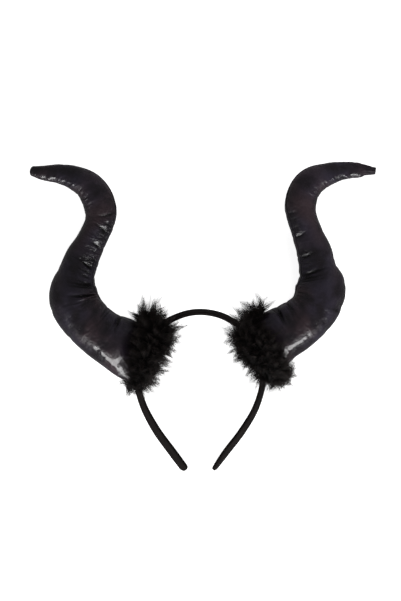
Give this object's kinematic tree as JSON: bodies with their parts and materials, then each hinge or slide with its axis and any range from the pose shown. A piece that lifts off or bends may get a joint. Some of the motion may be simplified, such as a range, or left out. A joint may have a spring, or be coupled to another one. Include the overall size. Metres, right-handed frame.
{
  "type": "horned crown headband",
  "caption": "Narrow fabric-covered headband with two tall stuffed fabric horns that curl outwards at the tip, each with a fluffy trim round its base.",
  "frame": {"origin": "middle of the whole piece's outline, on the surface that it lies on", "axes": "the piece lies on its back: +X across the front towards the right of the picture, +Y from the band's ends towards the horns' tips, +Z out of the front"},
  "size_m": [0.3192, 0.2858, 0.0613],
  "materials": {
    "band_cloth": "dull black woven cloth with fine lengthwise lines",
    "horn_cloth": "thin coated black cloth with a wet-looking gloss",
    "fluff": "soft black feathery fluff"
  },
  "bodies": {
    "root": {"headband": "band_cloth", "horn_left": "horn_cloth", "horn_right": "horn_cloth", "fur_left": "fluff", "fur_right": "fluff"}
  },
  "joints": []
}
